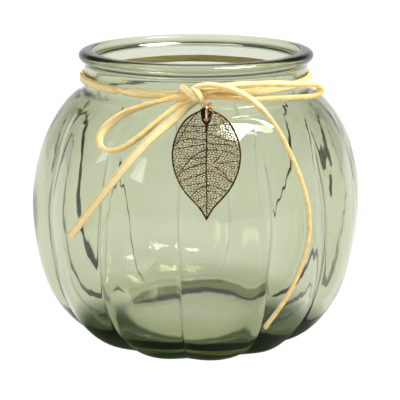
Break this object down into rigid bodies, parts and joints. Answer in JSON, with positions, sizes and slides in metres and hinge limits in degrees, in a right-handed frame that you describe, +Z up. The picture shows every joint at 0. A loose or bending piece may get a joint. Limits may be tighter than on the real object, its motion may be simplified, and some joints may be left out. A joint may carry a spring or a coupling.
{
  "type": "pumpkin-shaped glass jar",
  "caption": "Lobed pumpkin-shaped glass jar with a rolled rim, a suede lace bow tied round its neck and a filigree leaf charm hanging from it.",
  "frame": {"origin": "centre of the jar's base, on the surface it stands on", "axes": "+Z up along the jar's axis; the front with the bow faces -Y; +X is to the right seen from the front"},
  "size_m": [0.1395, 0.1433, 0.1214],
  "materials": {
    "green_glass": "clear grey-green pressed glass",
    "suede_lace": "pale tan suede, raised nap",
    "ring_metal": "bright plated wire",
    "leaf_metal": "dark bronze plating with a warm glint"
  },
  "bodies": {
    "jar": {"glass_jar": "green_glass", "lace_neck_band": "suede_lace", "lace_knot": "suede_lace", "lace_loop_left": "suede_lace", "lace_loop_right": "suede_lace", "lace_tail_left": "suede_lace", "lace_tail_right": "suede_lace"},
    "ring": {"jump_ring": "ring_metal"},
    "leaf": {"leaf_charm": "leaf_metal"}
  },
  "joints": [
    {"name": "ring_swing", "type": "hinge", "parent": "jar", "child": "ring", "pos_m": [0.0038, -0.0532, 0.1063], "axis": [-1, 0, 0], "range_deg": [0, 70]},
    {"name": "leaf_swing", "type": "hinge", "parent": "ring", "child": "leaf", "pos_m": [0.0038, -0.0566, 0.1029], "axis": [0, -0.8988, 0.4384], "range_deg": [-20, 20]}
  ]
}
